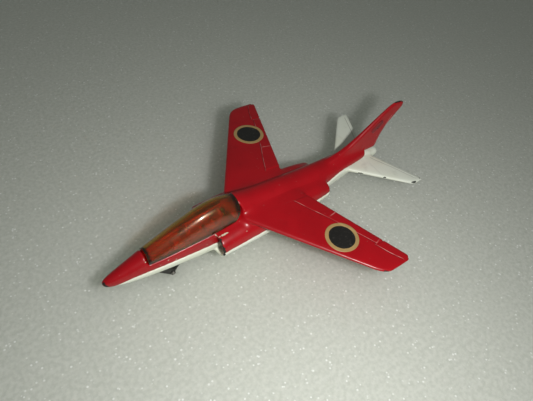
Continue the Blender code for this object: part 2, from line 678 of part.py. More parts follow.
def make_labels(parts):
    for side, word in ((1, "left"), (-1, "right")):
        add_object("wing_label_" + word, wing_label_mesh("wing_label", WING_LABEL_AT[word], side),
                   parts, LABEL)
        base = side * (FIN_LABEL_Y + LABEL_GAP)
        low, high = sorted((base, base + side * LABEL_THICK))
        add_object("fin_label_" + word, prism(FIN_LABEL, low, high, "fin_label"), parts, BLACK)


def main():
    clear_scene()
    parts = new_collection("toy_airplane")
    guides = new_collection("cutters")
    make_upper_casting(parts, guides)
    lower = make_lower_casting(parts, guides)
    make_canopy(parts, guides)
    make_nose_gear(parts, guides, lower)
    for side, word in ((1, "left"), (-1, "right")):
        make_main_gear(word, side, parts, guides, lower)
    make_labels(parts)


main()
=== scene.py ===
"""Looks of the die-cast toy jet trainer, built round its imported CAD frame.

The two castings are remeshed finely from the CAD solids, so that their edges are soft as cast
metal's are, and then get their fillets, control surfaces and chipped enamel. The canopy, wheels,
axles and labels are modelled anew. Sizes are in millimetres in the shared frame until a piece is
placed: +X is the nose, +Y the port wing and +Z up.
"""

import math

import bmesh
import bpy
import numpy as np
from mathutils import Matrix, Vector
from mathutils.bvhtree import BVHTree


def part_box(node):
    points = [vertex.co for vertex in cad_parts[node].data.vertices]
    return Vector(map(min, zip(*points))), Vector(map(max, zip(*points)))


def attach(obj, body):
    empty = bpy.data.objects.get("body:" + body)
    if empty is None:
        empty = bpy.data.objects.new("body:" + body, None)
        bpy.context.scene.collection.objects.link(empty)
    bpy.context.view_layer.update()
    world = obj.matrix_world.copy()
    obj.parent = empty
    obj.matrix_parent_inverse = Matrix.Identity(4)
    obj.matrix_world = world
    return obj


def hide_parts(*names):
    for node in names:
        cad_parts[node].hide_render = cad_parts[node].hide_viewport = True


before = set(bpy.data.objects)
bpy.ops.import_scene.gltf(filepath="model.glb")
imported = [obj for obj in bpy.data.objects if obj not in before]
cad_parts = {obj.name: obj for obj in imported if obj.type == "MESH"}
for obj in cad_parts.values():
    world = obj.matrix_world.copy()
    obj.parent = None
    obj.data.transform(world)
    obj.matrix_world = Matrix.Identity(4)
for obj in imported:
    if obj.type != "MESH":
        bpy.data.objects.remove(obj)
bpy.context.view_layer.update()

MM = 0.001

# Remesh sizes
CASTING_VOXEL = 0.16
LEG_VOXEL = 0.09

# Line on which the castings meet, as x and z, and how much of the CAD gap each side closes
PARTING = ((50.7, 8.0), (47.4, 8.0), (43.0, 9.2), (38.6, 9.7), (30.0, 10.2), (20.0, 10.6),
           (12.0, 11.0), (0.0, 11.4), (-18.0, 11.9), (-21.5, 13.0), (-25.0, 14.3), (-28.0, 14.8),
           (-37.0, 14.9))
GAP_CLOSED = 0.1
GAP_REACH = 1.2

# Control surfaces stand proud of the wing and tailplane behind the flap, aileron and elevator hinge
# lines, as x and distance from the middle; the flap splits and the rudder hinge, on the fin as x and z,
# are only marked as lines
FLAP_HINGE = ((-4.4, 7.1), (-6.6, 11.5), (-9.7, 17.1), (-11.5, 21.2), (-13.3, 24.7),
              (-15.7, 29.8))
AILERON_HINGE = ((-15.2, 30.3), (-16.8, 34.1), (-18.7, 37.4))
FLAP_SPLITS = (((-9.9, 16.4), (-12.6, 15.9)), ((-15.7, 29.9), (-18.0, 29.1)))
ELEVATOR_HINGE = ((-39.3, 3.0), (-42.6, 9.5), (-45.6, 16.6))
RUDDER_HINGE = ((-41.6, 17.6), (-43.3, 22.0), (-45.4, 26.2), (-47.4, 29.4))
SURFACE_RISE = 0.16

# Rear corner of the wing tips, as x and distance from the middle: where it is, which way the
# two edges leave it and how far it is rounded
TIP_CORNER = (-21.7, 38.5)
TIP_EDGES = ((1.0, 0.0), (0.359, -0.933))
TIP_RADIUS = 1.3

# Canopy: sections as x, half width, z of the widest line and top z
CANOPY_SECTIONS = ((42.0, 2.80, 9.5, 13.4), (38.6, 3.30, 9.8, 14.9), (34.0, 3.80, 10.0, 16.9),
                   (28.0, 4.30, 10.2, 19.4), (22.0, 4.70, 10.5, 21.5), (17.0, 4.90, 10.7, 22.1),
                   (11.8, 5.00, 11.0, 21.0), (5.0, 5.00, 11.3, 19.5))
CANOPY_SECTION_POWER = 2.3
CANOPY_FRONT_X = 38.75
CANOPY_REAR_X = 11.75
CANOPY_SILL = ((38.7, 12.5), (11.2, 16.45))
CANOPY_WALL = 0.8
CANOPY_REAR_ROUND = 1.6

# Roundels: centre x and distance from the middle
ROUNDEL_AT = {"left": (-8.4, 23.6), "right": (-9.8, 24.0)}
ROUNDEL_RADIUS = 4.8
FILM_LIFT = 0.03
FILM_THICK = 0.05

# Wear: strokes where the enamel is off, as two end points and a radius; the dark strokes along the
# intake lips are partly worn edges and partly painted shadow of the intake openings
PALE_CHIPS = (
    ((39.3, 2.2, 13.4), (39.6, 1.7, 13.4), 0.14), ((20.0, 5.7, 14.6), (18.5, 5.8, 14.9), 0.14),
    ((18.7, 5.8, 14.8), (17.0, 5.9, 15.1), 0.26), ((20.1, 4.6, 14.6), (20.1, 5.4, 14.6), 0.16),
    ((12.7, 4.6, 15.9), (12.7, 4.6, 15.9), 0.1), ((12.8, 6.7, 15.2), (12.8, 6.7, 15.2), 0.12),
    ((12.1, 7.7, 14.5), (12.1, 7.7, 14.5), 0.09), ((33.8, 3.7, 11.9), (33.8, 3.7, 11.9), 0.13),
    ((31.6, 4.0, 11.2), (31.6, 4.0, 11.2), 0.12), ((35.9, 3.5, 11.2), (35.9, 3.5, 11.2), 0.1),
    ((29.0, 4.2, 11.6), (29.0, 4.2, 11.6), 0.1), ((26.2, 4.5, 12.6), (26.2, 4.5, 12.6), 0.09),
    ((24.6, 4.6, 13.2), (24.3, 4.6, 13.2), 0.07), ((22.7, 4.7, 12.1), (22.7, 4.7, 12.1), 0.08),
    ((27.8, 4.3, 13.0), (27.6, 4.3, 13.1), 0.06), ((30.4, 4.1, 12.8), (30.4, 4.1, 12.8), 0.07),
    ((32.6, 3.9, 12.5), (32.4, 3.9, 12.5), 0.06), ((25.0, 4.6, 11.4), (25.0, 4.6, 11.4), 0.08),
    ((34.9, 3.6, 12.4), (34.9, 3.6, 12.4), 0.06), ((19.6, -5.6, 14.7), (18.6, -5.8, 14.9), 0.2),
    ((-22.3, 0.2, 18.2), (-22.3, 0.2, 18.2), 0.1),
)
DARK_CHIPS_AND_SHADE = (
    ((50.4, 0.4, 9.9), (49.8, 1.1, 8.9), 0.42), ((50.6, -0.3, 9.5), (50.3, -0.8, 9.0), 0.30),
    ((-46.6, 0.0, 32.0), (-50.0, 0.0, 31.4), 0.34), ((-11.7, 37.7, 14.6), (-12.4, 38.0, 14.5), 0.30),
    ((-20.9, -38.2, 14.0), (-20.4, -38.1, 14.0), 0.24), ((-31.6, 6.2, 13.9), (-32.3, 7.0, 13.9), 0.26),
    ((-37.1, 11.8, 14.1), (-37.4, 12.1, 14.1), 0.28), ((-43.6, 17.9, 14.3), (-44.7, 18.3, 14.2), 0.26),
    ((-47.1, 17.7, 14.2), (-47.6, 17.4, 14.2), 0.24), ((-44.4, -18.3, 14.0), (-45.3, -18.3, 14.0), 0.24),
    # painted shadow: the last three strokes lie along the intake lips, partly worn edges and partly the
    # shade inside the intake openings
    ((-35.0, -9.8, 13.9), (-35.4, -10.1, 13.9), 0.14), ((19.9, 6.5, 14.3), (19.9, 8.3, 12.6), 0.45),
    ((19.9, 8.3, 12.6), (19.8, 9.0, 10.0), 0.55), ((20.1, -8.2, 12.6), (20.0, -8.9, 10.4), 0.24),
)
RIVET_X = (23.5, -26.5)
RIVET_HEAD_RADIUS = 1.9

# Undercarriage
WHEELS = {
    "nose_wheel": {"radius": 1.6, "half_width": 0.65},
    "main_wheel_left": {"radius": 2.1, "half_width": 0.85},
    "main_wheel_right": {"radius": 2.1, "half_width": 0.85},
}
AXLE_RADIUS = 0.4
BORE_RADIUS = 0.52

# Camera: where it stands, the point it looks at, its roll and lens
CAMERA_AT = (65.84, 72.95, 120.75)
CAMERA_AIM = (-0.58, -0.38, 12.02)
CAMERA_ROLL_DEG = 9.05
CAMERA_LENS = 33.64

RED = (0.385, 0.0022, 0.0075)
RED_DEEP = (0.34, 0.0018, 0.0065)
# paler red of the rubbed hinge edges, partly a painted highlight
RED_WORN_AND_LIT = (0.78, 0.40, 0.37)
WHITE = (0.78, 0.82, 0.72)
WHITE_YELLOWED = (0.75, 0.78, 0.65)
# paler white of the rubbed hinge edges, partly a painted highlight
WHITE_WORN_AND_LIT = (0.88, 0.90, 0.84)
BARE_PALE = (0.62, 0.56, 0.43)
# dark bare metal, also used as painted shadow along the intake lips
BARE_DARK_AND_SHADE = (0.014, 0.014, 0.012)
AMBER = (0.60, 0.36, 0.05)
# dark amber, painted shade for the canopy seen edge-on
AMBER_EDGE_ON_SHADE = (0.085, 0.06, 0.016)
BLACK_PLASTIC = (0.015, 0.015, 0.013)
CREAM = (0.46, 0.30, 0.12)
INK = (0.012, 0.011, 0.010)


# ---------------------------------------------------------------- meshes in millimetres

class Surface:
    """A mesh's points and edges as arrays, for smoothing and measuring."""

    def __init__(self, mesh):
        self.mesh = mesh
        self.points = np.empty(len(mesh.vertices) * 3)
        mesh.vertices.foreach_get("co", self.points)
        self.points = self.points.reshape(-1, 3)
        edges = np.empty(len(mesh.edges) * 2, np.int64)
        mesh.edges.foreach_get("vertices", edges)
        self.ends = edges.reshape(-1, 2).T
        self.degree = np.bincount(edges, minlength=len(self.points)).clip(1)

    def mean_of_neighbours(self, values):
        a, b = self.ends
        count = len(values)
        columns = [np.bincount(a, c[b], count) + np.bincount(b, c[a], count) for c in values.T]
        return np.stack(columns, 1) / self.degree[:, None]

    def normals(self):
        self.store()
        found = np.empty(len(self.points) * 3)
        self.mesh.vertex_normals.foreach_get("vector", found)
        return found.reshape(-1, 3)

    def smooth(self, rounds, most_moved):
        """Even out facets and corners, moving no point further than most_moved."""
        start = self.points.copy()
        for _ in range(rounds):
            self.points += 0.5 * (self.mean_of_neighbours(self.points) - self.points)
        moved = self.points - start
        length = np.linalg.norm(moved, axis=1).clip(1e-9)
        self.points = start + moved * (most_moved / length.clip(most_moved))[:, None]

    def fill_hollows(self, weight, rounds):
        """Grow a fillet in the inward corners where weight is above zero."""
        near = np.flatnonzero(weight > 0)
        for k in range(rounds):
            if k % 20 == 0:
                normals = self.normals()[near]
            pull = (self.mean_of_neighbours(self.points) - self.points)[near]
            outward = np.einsum("ij,ij->i", pull, normals).clip(0)
            self.points[near] += normals * (outward * weight[near])[:, None]

    def bend(self):
        """How sharply the surface bends outward at each point: 0 on a flat, 1 at an edge."""
        pull = self.mean_of_neighbours(self.points) - self.points
        outward = -np.einsum("ij,ij->i", pull, self.normals())
        return self.mean_of_neighbours((outward / (0.16 * CASTING_VOXEL))[:, None])[:, 0].clip(0, 1)

    def paint(self, name, values):
        layer = self.mesh.attributes.new(name, "FLOAT", "POINT")
        layer.data.foreach_set("value", values.astype(np.float32))

    def store(self):
        self.mesh.vertices.foreach_set("co", self.points.ravel())
        self.mesh.update()


def cad_copy(node):
    """The node's mesh in millimetres, welded."""
    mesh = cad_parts[node].data.copy()
    bm = bmesh.new()
    bm.from_mesh(mesh)
    bmesh.ops.transform(bm, matrix=Matrix.Scale(1 / MM, 4), verts=bm.verts)
    bmesh.ops.remove_doubles(bm, verts=bm.verts, dist=1e-4)
    bm.to_mesh(mesh)
    bm.free()
    return mesh


def remeshed(node, voxel):
    """Fine, even copy of a node, in millimetres."""
    work = bpy.data.objects.new("work", cad_copy(node))
    bpy.context.scene.collection.objects.link(work)
    remesh = work.modifiers.new("remesh", "REMESH")
    remesh.mode = "VOXEL"
    remesh.voxel_size = voxel
    depsgraph = bpy.context.evaluated_depsgraph_get()
    fine = bpy.data.meshes.new_from_object(work.evaluated_get(depsgraph))
    bpy.data.objects.remove(work)
    fine.materials.clear()
    return fine


def place_piece(name, mesh, body, material, replaced):
    """Scale a finished mesh to metres and hand it to the frame."""
    mesh.transform(Matrix.Scale(MM, 4))
    mesh.shade_smooth()
    mesh.materials.append(material)
    piece = bpy.data.objects.new(name, mesh)
    bpy.context.scene.collection.objects.link(piece)
    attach(piece, body)
    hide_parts(replaced)
    return piece


def grid_faces(rows, columns, closed):
    """Quads over a grid of points numbered row by row."""
    across = columns if closed else columns - 1
    return [(r * columns + c, r * columns + (c + 1) % columns,
             (r + 1) * columns + (c + 1) % columns, (r + 1) * columns + c)
            for r in range(rows - 1) for c in range(across)]


def mesh_from(name, points, faces):
    """Mesh of these points and faces, with its normals outward."""
    mesh = bpy.data.meshes.new(name)
    mesh.from_pydata([tuple(p) for p in points], [], faces)
    bm = bmesh.new()
    bm.from_mesh(mesh)
    bmesh.ops.recalc_face_normals(bm, faces=bm.faces)
    bm.to_mesh(mesh)
    bm.free()
    return mesh


def smoothstep(low, high, values):
    t = ((values - low) / (high - low)).clip(0, 1)
    return t * t * (3 - 2 * t)


# ---------------------------------------------------------------- casting detail

def line_distance(line, across, along):
    """Distance to a line of (x, other) points, and the side: above zero behind it."""
    best = np.full(len(across), 1e9)
    side = np.zeros(len(across))
    for (x0, s0), (x1, s1) in zip(line, line[1:]):
        dx, ds = x1 - x0, s1 - s0
        t = (((across - x0) * dx + (along - s0) * ds) / (dx * dx + ds * ds)).clip(0, 1)
        gap_x, gap_s = across - (x0 + t * dx), along - (s0 + t * ds)
        distance = np.hypot(gap_x, gap_s)
        nearer = distance < best
        best = np.where(nearer, distance, best)
        side = np.where(nearer, -np.sign(gap_x * ds - gap_s * dx), side)
    return best, side


def raise_behind(surface, line, along, rise, where):
    """Lift the skin behind a hinge line, and return each point's distance behind the line."""
    x = surface.points[:, 0]
    distance, side = line_distance(line, x, along)
    low, high = line[0][1], line[-1][1]
    inside = smoothstep(low - 0.1, low + 0.1, along) * smoothstep(high + 0.1, high - 0.1, along)
    behind = smoothstep(-0.12, 0.12, distance * side) * inside * where
    surface.points += surface.normals() * (rise * behind)[:, None]
    return np.where(where > 0.5, distance * side, 9.0)


def nearer_line(first, second):
    """The distance that is closer to its line, point by point."""
    return np.where(np.abs(first) < np.abs(second), first, second)


def round_corner(surface, corner, edges, radius):
    """Round off a corner of the plan, alike on both sides."""
    toward = np.sum(edges, axis=0)
    toward /= np.linalg.norm(toward)
    half = math.acos(np.dot(*edges)) / 2
    centre = np.array(corner) + toward * radius / math.sin(half)
    x, y, _ = surface.points.T
    out = np.stack([x - centre[0], np.abs(y) - centre[1]], 1)
    reach = np.linalg.norm(out, axis=1).clip(1e-6)
    beside = math.pi / 2 - half - np.arccos((-(out @ toward) / reach).clip(-1, 1))
    edge = radius / np.cos(beside.clip(0, 1.5))
    inner = 0.4 * radius
    pulled = inner + (reach - inner) * (radius - inner) / (edge - inner)
    share = np.where((beside > 0) & (reach > inner), pulled / reach, 1.0)
    moved = centre + out * share[:, None]
    surface.points[:, 0] = moved[:, 0]
    surface.points[:, 1] = moved[:, 1] * np.sign(y)


def close_gap(surface, upward):
    """Stretch the rim at the parting line towards the other casting."""
    x, z = surface.points[:, 0], surface.points[:, 2]
    line = np.array(PARTING[::-1])
    height = (z - np.interp(x, line[:, 0], line[:, 1])) * (-1 if upward else 1)
    share = smoothstep(GAP_REACH, 0.3, height) * (height > 0) * (x > PARTING[-1][0])
    surface.points[:, 2] += GAP_CLOSED * share * (1 if upward else -1)


def paint_wear_and_shade(surface):
    """Store how far each point is outside the nearest chip stroke, painted shadow strokes at the intake
    lips included, and the enamel's bends.
    """
    for name, chips in (("chip_pale", PALE_CHIPS), ("chip_dark_and_shade", DARK_CHIPS_AND_SHADE)):
        outside = np.full(len(surface.points), 2.0)
        for begin, end, radius in chips:
            begin = np.array(begin)
            stroke = np.array(end) - begin
            away = surface.points - begin
            share = (away @ stroke / max(stroke @ stroke, 1e-9)).clip(0, 1)
            away = np.linalg.norm(away - share[:, None] * stroke, axis=1)
            outside = np.minimum(outside, away - radius)
        surface.paint(name, outside)
    surface.paint("edge", surface.bend())


def build_upper_casting():
    """Wings, fuselage top and fin: fillets, raised control surfaces and panel lines."""
    surface = Surface(remeshed("upper_casting", CASTING_VOXEL))
    surface.smooth(34, 0.3)
    round_corner(surface, TIP_CORNER, TIP_EDGES, TIP_RADIUS)
    close_gap(surface, upward=False)
    x, y, z = surface.points.T
    span = np.abs(y)
    wing_root = (smoothstep(3.2, 4.0, span) * smoothstep(8.5, 6.0, span) * smoothstep(14.0, 14.8, z)
                 * smoothstep(-21.0, -19.0, x) * smoothstep(13.0, 10.5, x))
    fin_root = (smoothstep(3.0, 2.0, span) * smoothstep(16.2, 16.8, z) * smoothstep(21.5, 20.0, z)
                * smoothstep(-17.0, -19.0, x) * smoothstep(-36.5, -35.5, x))
    surface.fill_hollows(np.maximum(wing_root, fin_root), 220)
    normals = surface.normals()
    wing_top = ((normals[:, 2] > 0.5) & (span > 6.5) & (x > -24)).astype(float)
    fin_side = ((np.abs(normals[:, 1]) > 0.5) & (span < 2) & (z > 17)).astype(float)
    seam = raise_behind(surface, FLAP_HINGE, span, SURFACE_RISE, wing_top)
    seam = nearer_line(seam, raise_behind(surface, AILERON_HINGE, span, SURFACE_RISE, wing_top))
    for split in FLAP_SPLITS:
        distance = line_distance(split, surface.points[:, 0], span)[0]
        seam = nearer_line(seam, np.where(wing_top > 0.5, distance, 9.0))
    rudder = line_distance(RUDDER_HINGE, surface.points[:, 0], z)[0]
    seam = nearer_line(seam, np.where(fin_side > 0.5, rudder, 9.0))
    surface.paint("seam", seam.clip(-3, 3))
    surface.paint("bare_rivet", rivet_area(surface))
    paint_wear_and_shade(surface)
    surface.store()
    return surface.mesh


def rivet_area(surface):
    """1 on the peened rivet heads under the belly, which were formed after painting."""
    x, y, z = surface.points.T
    found = np.zeros(len(x))
    for rivet_x in RIVET_X:
        reach = np.hypot(x - rivet_x, y)
        found = np.maximum(found, smoothstep(RIVET_HEAD_RADIUS + 0.3, RIVET_HEAD_RADIUS, reach)
                           * smoothstep(11.5, 10.5, z))
    return found


def build_lower_casting():
    """Belly and tailplane: tail fillets and raised elevators."""
    surface = Surface(remeshed("lower_casting", CASTING_VOXEL))
    surface.smooth(34, 0.3)
    close_gap(surface, upward=True)
    x, y, z = surface.points.T
    span = np.abs(y)
    tail_root = (smoothstep(1.6, 2.0, span) * smoothstep(5.5, 3.5, span)
                 * smoothstep(-44.0, -42.0, x) * smoothstep(-25.0, -27.0, x))
    surface.fill_hollows(tail_root, 140)
    tail = ((np.abs(surface.normals()[:, 2]) > 0.5) & (span > 2.8) & (x < -28)).astype(float)
    seam = raise_behind(surface, ELEVATOR_HINGE, span, 0.05, tail)
    surface.paint("seam", seam.clip(-3, 3))
    surface.paint("bare_rivet", np.zeros(len(x)))
    paint_wear_and_shade(surface)
    surface.store()
    return surface.mesh


# ---------------------------------------------------------------- canopy

def canopy_section(x):
    """Half width, z of the widest line and top z at x, on a smooth curve."""
    table = np.array(CANOPY_SECTIONS[::-1])
    slopes = np.gradient(table[:, 1:], table[:, 0], axis=0)
    k = int(np.clip(np.searchsorted(table[:, 0], x) - 1, 0, len(table) - 2))
    h = table[k + 1, 0] - table[k, 0]
    t = (x - table[k, 0]) / h
    return (table[k, 1:] * (2 * t**3 - 3 * t**2 + 1) + table[k + 1, 1:] * (3 * t**2 - 2 * t**3)
            + h * slopes[k] * (t**3 - 2 * t**2 + t) + h * slopes[k + 1] * (t**3 - t**2))


def canopy_point(x, share, inset):
    """Point of the skin at x: share runs 0 at the port sill, 1 at the starboard sill."""
    (front_x, front_z), (rear_x, rear_z) = CANOPY_SILL
    sill = rear_z + (front_z - rear_z) * (x - rear_x) / (front_x - rear_x)
    half_width, z_wide, z_top = canopy_section(x)
    width, height = half_width - inset, z_top - z_wide - inset
    power = 2 / CANOPY_SECTION_POWER
    start = math.asin(max(0.0, min(1.0, (sill - z_wide) / height)) ** (1 / power))
    angle = start + (math.pi - 2 * start) * share
    across, up = math.cos(angle), math.sin(angle)
    return (x, width * math.copysign(abs(across) ** power, across), z_wide + height * up**power)


def build_canopy():
    """Clear shell with thick front and rear walls, rounded down at its rear corners."""
    rows, columns = ((150, 121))
    rings = []
    for inset in (0.0, CANOPY_WALL):
        front = CANOPY_FRONT_X - inset
        rear = CANOPY_REAR_X + inset
        for k in range(rows):
            t = 0.5 - 0.5 * math.cos(math.pi * k / (rows - 1))
            ring = []
            for c in range(columns):
                share = c / (columns - 1)
                corner = CANOPY_REAR_ROUND * max(0.0, 1 - min(share, 1 - share) / 0.16) ** 2.0
                x = front + (rear + corner - 0.55 * math.sin(math.pi * share) ** 0.5 + 0.3 - front) * t
                ring.append(canopy_point(x, share, inset))
            rings.append(ring)
    points = [p for ring in rings for p in ring]
    inner = rows * columns
    outer_faces = grid_faces(rows, columns, closed=False)
    faces = outer_faces + [tuple(inner + v for v in f) for f in outer_faces]
    for c in range(columns - 1):
        for r in (0, rows - 1):
            a, b = r * columns + c, r * columns + c + 1
            faces.append((a, b, inner + b, inner + a))
    for r in range(rows - 1):
        for c in (0, columns - 1):
            a, b = r * columns + c, (r + 1) * columns + c
            faces.append((a, b, inner + b, inner + a))
    mesh = mesh_from("canopy_clear", points, faces)
    x = np.array([p[0] for p in points])
    # painted shade mask: the canopy's ends and its rim along the sill, where it is seen edge-on
    edge_on_shade = np.maximum(smoothstep(CANOPY_FRONT_X - 1.3, CANOPY_FRONT_X - 0.4, x),
                       smoothstep(CANOPY_REAR_X + 1.5, CANOPY_REAR_X + 0.5, x))
    sill = np.tile([min(c, columns - 1 - c) / (columns - 1) for c in range(columns)], 2 * rows)
    layer = mesh.attributes.new("edge_on_shade", "FLOAT", "POINT")
    layer.data.foreach_set("value", np.maximum(edge_on_shade, smoothstep(0.035, 0.008, sill)).astype(np.float32))
    return mesh


# ---------------------------------------------------------------- labels

def film_on(surface_tree, name, outline_rings, direction, reach):
    """Thin film laid on a surface: rings of (a, b) points, projected along direction."""
    points = []
    columns = len(outline_rings[0])
    for lift in (FILM_LIFT, FILM_LIFT + FILM_THICK):
        for ring in outline_rings:
            for point in ring:
                start = Vector(point) - direction * reach
                hit, normal, _, _ = surface_tree.ray_cast(start, direction, 2 * reach)
                if hit is None:
                    hit, normal, _, _ = surface_tree.find_nearest(Vector(point))
                points.append(hit + normal * lift)
    rows = len(outline_rings)
    layer = rows * columns
    one = grid_faces(rows, columns, closed=True)
    faces = one + [tuple(layer + v for v in f) for f in one]
    last = (rows - 1) * columns
    for c in range(columns):
        n = (c + 1) % columns
        faces.append((last + c, last + n, layer + last + n, layer + last + c))
    faces += [tuple(range(columns)), tuple(range(layer, layer + columns))]
    return mesh_from(name, points, faces)


def roundel_mesh(tree, name, centre, side):
    """Disc of film on a wing, with each point's share of the radius stored as reach."""
    rings = []
    for k in range(1, 33):
        radius = ROUNDEL_RADIUS * k / 32
        rings.append([(centre[0] + radius * math.cos(a), side * (centre[1] + radius * math.sin(a)), 20.0)
                      for a in np.linspace(0, 2 * math.pi, 96, endpoint=False)])
    mesh = film_on(tree, name, rings, Vector((0, 0, -1)), 12.0)
    points = np.array([v.co for v in mesh.vertices])
    reach = np.hypot(points[:, 0] - centre[0], np.abs(points[:, 1]) - centre[1]) / ROUNDEL_RADIUS
    layer = mesh.attributes.new("reach", "FLOAT", "POINT")
    layer.data.foreach_set("value", reach.astype(np.float32))
    return mesh


def fin_mark_mesh(tree, name, node, side):
    """Small slanted bar on the fin, the size of the CAD label."""
    low, high = (np.array(corner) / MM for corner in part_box(node))
    middle = (low + high) / 2
    along, up = 2.45, 1.05
    lean = math.radians(-36.5)
    rings = []
    for k in range(1, 13):
        ring = []
        for a in np.linspace(0, 2 * math.pi, 48, endpoint=False):
            u = along * k / 12 * math.copysign(abs(math.cos(a)) ** 0.4, math.cos(a))
            v = up * k / 12 * math.copysign(abs(math.sin(a)) ** 0.4, math.sin(a))
            x = middle[0] + u * math.cos(lean) - v * math.sin(lean)
            z = middle[2] + u * math.sin(lean) + v * math.cos(lean)
            ring.append((x, side * 4.0, z))
        rings.append(ring)
    return film_on(tree, name, rings, Vector((0, -side, 0)), 5.0)


# ---------------------------------------------------------------- undercarriage

def lathe(name, profile, centre, segments, closed):
    """Turn (along Y, radius) points round the Y axis through centre."""
    angles = np.linspace(0, 2 * math.pi, segments, endpoint=False)
    rings = [[(centre[0] + r * math.cos(a), centre[1] + y, centre[2] + r * math.sin(a))
              for a in angles] for y, r in profile]
    points = [p for ring in rings for p in ring]
    faces = grid_faces(len(profile), segments, closed=True)
    last = (len(profile) - 1) * segments
    if closed:
        faces += [(last + c, last + (c + 1) % segments, (c + 1) % segments, c)
                  for c in range(segments)]
    else:
        faces += [tuple(range(segments)), tuple(range(last, last + segments))]
    return mesh_from(name, points, faces)


def rounded(corners, radius, steps=5):
    """A profile's corners turned into short arcs."""
    out = []
    for k, corner in enumerate(corners):
        before, after = corners[k - 1], corners[(k + 1) % len(corners)]
        p, a, b = Vector(corner), Vector(before), Vector(after)
        reach = min(radius, (a - p).length * 0.45, (b - p).length * 0.45)
        start, end = p + (a - p).normalized() * reach, p + (b - p).normalized() * reach
        for s in range(steps + 1):
            t = s / steps
            out.append(tuple(start * (1 - t) ** 2 + p * 2 * t * (1 - t) + end * t * t))
    return out


def wheel_mesh(name, size):
    """Moulded wheel with a dished hub, a raised rim and a bore."""
    r, h = size["radius"], size["half_width"]
    low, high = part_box(name)
    centre = (Vector(low) + Vector(high)) / 2 / MM
    corners = ((-h, BORE_RADIUS), (-h, 0.37 * r), (-h + 0.26, 0.43 * r), (-h + 0.26, 0.64 * r),
               (-h, 0.70 * r), (-h, 0.87 * r), (-h + 0.2, r), (-0.12, r), (-0.06, r - 0.05),
               (0.06, r - 0.05), (0.12, r), (h - 0.2, r), (h, 0.87 * r), (h, 0.70 * r),
               (h - 0.26, 0.64 * r), (h - 0.26, 0.43 * r), (h, 0.37 * r), (h, BORE_RADIUS))
    return lathe(name + "_moulded", rounded(corners, 0.09), centre, 72, closed=True)


def axle_mesh(name):
    """Drawn pin whose ends are swaged into low domes, as long as the CAD pin."""
    low, high = (Vector(corner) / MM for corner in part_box(name))
    centre = (low + high) / 2
    half = (high.y - low.y) / 2
    head = (high.z - low.z) / 2
    ends = {}
    for sign in (-1, 1):
        swaged = name == "nose_axle" or sign * centre.y > 0
        if swaged:
            ends[sign] = [(sign * half, 0.02), (sign * half, head * 0.45),
                          (sign * (half - 0.06), head * 0.8), (sign * (half - 0.16), head),
                          (sign * (half - 0.3), head * 0.98), (sign * (half - 0.3), AXLE_RADIUS)]
        else:
            ends[sign] = [(sign * half, 0.02), (sign * half, AXLE_RADIUS * 0.8),
                          (sign * (half - 0.08), AXLE_RADIUS)]
    profile = ends[-1] + ends[1][::-1]
    return lathe(name + "_pin", profile, centre, 48, closed=False)


def leg_mesh(node):
    """Moulded leg with softened edges."""
    surface = Surface(remeshed(node, LEG_VOXEL))
    surface.smooth(8, 0.08)
    surface.store()
    return surface.mesh


# ---------------------------------------------------------------- materials

class Shading:
    """Short names for building one material's node tree, with sizes in millimetres."""

    def __init__(self, name):
        self.material = bpy.data.materials.new(name)
        self.material.use_nodes = True
        self.nodes = self.material.node_tree.nodes
        self.links = self.material.node_tree.links
        self.shader = self.nodes["Principled BSDF"]
        self.places = self.nodes.new("ShaderNodeTexCoord").outputs["Object"]

    def feed(self, socket, value):
        if isinstance(value, bpy.types.NodeSocket):
            self.links.new(value, socket)
        elif isinstance(value, tuple):
            socket.default_value = (*value, 1.0)
        else:
            socket.default_value = value

    def noise(self, size, detail=2.0):
        node = self.nodes.new("ShaderNodeTexNoise")
        node.inputs["Scale"].default_value = 1 / (size * MM)
        node.inputs["Detail"].default_value = detail
        self.links.new(self.places, node.inputs["Vector"])
        return node.outputs["Fac"]

    def cells(self, size):
        node = self.nodes.new("ShaderNodeTexVoronoi")
        node.inputs["Scale"].default_value = 1 / (size * MM)
        self.links.new(self.places, node.inputs["Vector"])
        return node.outputs["Distance"]

    def painted(self, name):
        node = self.nodes.new("ShaderNodeAttribute")
        node.attribute_name = name
        return node.outputs["Fac"]

    def band(self, value, low, high, at_low=0.0, at_high=1.0):
        """Smooth step of value from low to high."""
        node = self.nodes.new("ShaderNodeMapRange")
        node.interpolation_type = "SMOOTHSTEP"
        self.feed(node.inputs["Value"], value)
        for label, number in (("From Min", low), ("From Max", high), ("To Min", at_low),
                              ("To Max", at_high)):
            node.inputs[label].default_value = number
        return node.outputs["Result"]

    def calc(self, operation, a, b):
        node = self.nodes.new("ShaderNodeMath")
        node.operation = operation
        self.feed(node.inputs[0], a)
        self.feed(node.inputs[1], b)
        return node.outputs[0]

    def blend(self, share, a, b):
        node = self.nodes.new("ShaderNodeMix")
        node.data_type = "RGBA"
        self.feed(node.inputs[0], share)
        self.feed(node.inputs[6], a)
        self.feed(node.inputs[7], b)
        return node.outputs[2]

    def broken(self, value, size, depth, level, soft=0.03):
        """Ragged-edged mask: 1 where value with noise added passes level."""
        rough = self.calc("MULTIPLY", self.calc("SUBTRACT", self.noise(size, 4.0), 0.5), depth)
        return self.band(self.calc("ADD", value, rough), level - soft, level + soft)

    def chipped(self, name, size, depth):
        """Ragged-edged mask: 1 inside the chips of this name, painted shadow strokes included."""
        return self.calc("SUBTRACT", 1.0, self.broken(self.painted(name), size, depth, 0.0, 0.04))

    def bump(self, height, depth, after=None):
        node = self.nodes.new("ShaderNodeBump")
        node.inputs["Distance"].default_value = depth * MM
        self.feed(node.inputs["Height"], height)
        if after:
            self.links.new(after, node.inputs["Normal"])
        return node.outputs["Normal"]

    def finish(self, **values):
        for label, value in values.items():
            self.feed(self.shader.inputs[label.replace("_", " ")], value)
        return self.material


